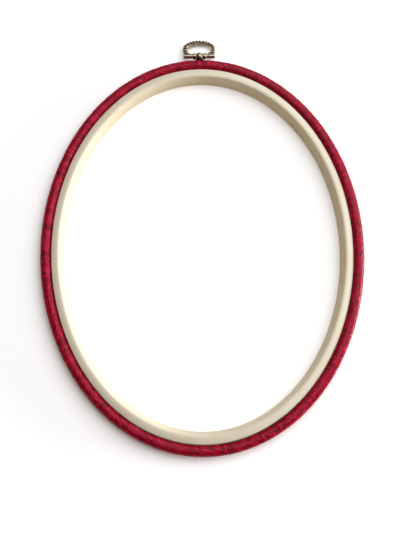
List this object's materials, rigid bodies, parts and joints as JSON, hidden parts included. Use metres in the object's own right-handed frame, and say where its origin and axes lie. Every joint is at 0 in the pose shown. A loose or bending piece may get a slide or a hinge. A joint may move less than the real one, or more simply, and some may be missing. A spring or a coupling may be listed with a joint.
{
  "type": "embroidery hoop",
  "caption": "Oval screwless embroidery hoop: a flexible outer ring pressed over a rigid inner ring, with a swinging metal bail to hang it by.",
  "frame": {"origin": "centre of the bounding box at the flat back of the inner hoop, which lies on the surface", "axes": "+Z from the back to the front of the hoop, +Y along the oval's long axis towards the bail, +X across the oval"},
  "size_m": [0.2152, 0.2881, 0.0092],
  "materials": {
    "cream_plastic": "satin, smooth moulded",
    "crimson_vinyl": "satin, embossed with wood grain",
    "antique_brass": "antique, dark in the grooves and bright on the edges"
  },
  "bodies": {
    "inner": {"inner_hoop": "cream_plastic"},
    "outer": {"outer_hoop": "crimson_vinyl", "hanger_post": "antique_brass"},
    "bail": {"bail": "antique_brass", "pivot_pin": "antique_brass"}
  },
  "joints": [
    {"name": "outer_hoop_slide", "type": "slide", "parent": "inner", "child": "outer", "axis": [0, 0, 1], "range_m": [0, 0.02]},
    {"name": "bail_hinge", "type": "hinge", "parent": "outer", "child": "bail", "pos_m": [0, 0.13004, 0.0055], "axis": [1, 0, 0], "range_deg": [-114, 152]}
  ]
}
